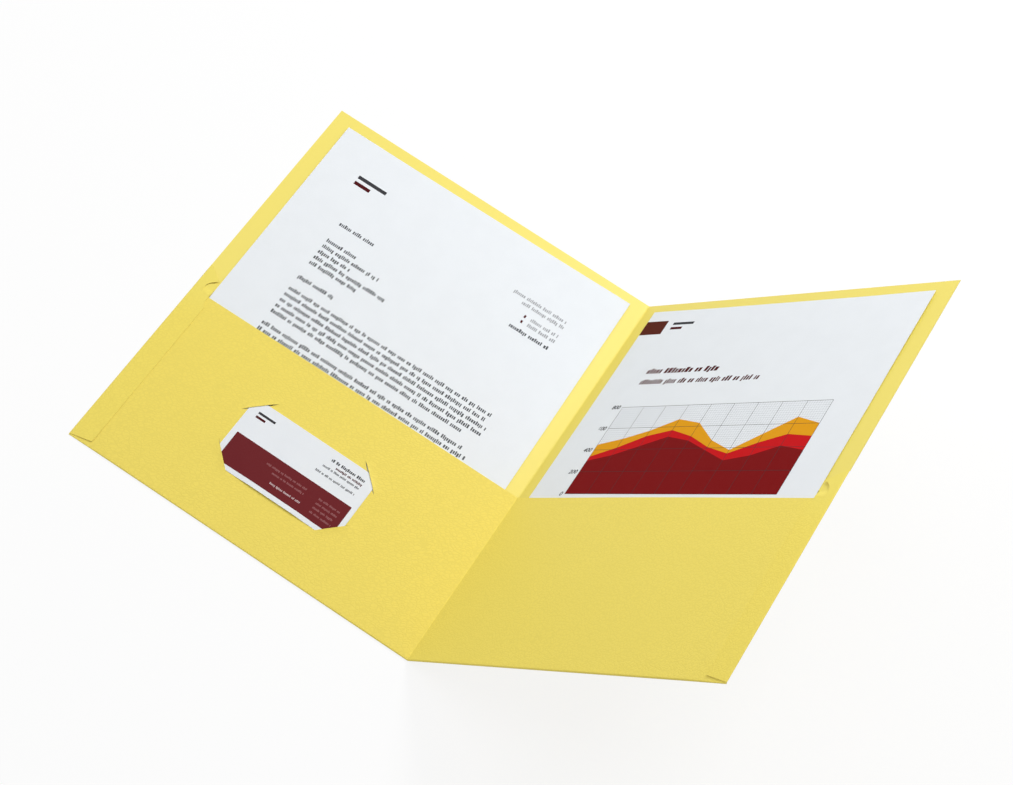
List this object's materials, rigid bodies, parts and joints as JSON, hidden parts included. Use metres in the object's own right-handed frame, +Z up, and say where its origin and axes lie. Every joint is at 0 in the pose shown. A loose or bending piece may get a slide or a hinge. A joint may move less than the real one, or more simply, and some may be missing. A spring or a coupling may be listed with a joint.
{
  "type": "two pocket folder",
  "caption": "Folder of embossed yellow card with a folding spine, a pocket on each side, locking side flaps and card slits, holding a letter, a report sheet and a business card.",
  "frame": {"origin": "on the table at the spine crease, half way along its length, where the left cover's outer face ends", "axes": "+X from the left cover's outer edge across the spine, +Y up the pages along the spine, +Z up from the table"},
  "size_m": [0.3847, 0.298, 0.1884],
  "materials": {
    "embossed_card": "satin",
    "letter_paper": "matte",
    "report_paper": "matte",
    "card_stock": "satin"
  },
  "bodies": {
    "left": {"left_cover": "embossed_card", "left_pocket": "embossed_card", "left_bottom_fold": "embossed_card", "left_side_fold": "embossed_card", "left_side_flap": "embossed_card", "left_lock_tongue": "embossed_card", "spine_crease": "embossed_card", "pocket_crease": "embossed_card", "business_card": "card_stock"},
    "right": {"right_cover": "embossed_card", "right_pocket": "embossed_card", "right_bottom_fold": "embossed_card", "right_side_fold": "embossed_card", "right_side_flap": "embossed_card", "right_lock_tongue": "embossed_card"},
    "letter": {"letter_sheet": "letter_paper"},
    "report": {"report_sheet": "report_paper"}
  },
  "joints": [
    {"name": "spine_fold", "type": "hinge", "parent": "left", "child": "right", "pos_m": [0, 0, 0.0021], "axis": [0, -1, 0], "range_deg": [-52, 128], "deforming": ["spine_crease", "pocket_crease"]},
    {"name": "letter_slide", "type": "slide", "parent": "left", "child": "letter", "axis": [0, 1, 0], "range_m": [-0.008, 0.115]},
    {"name": "report_slide", "type": "slide", "parent": "right", "child": "report", "axis": [0, 1, 0], "range_m": [-0.008, 0.115]}
  ]
}
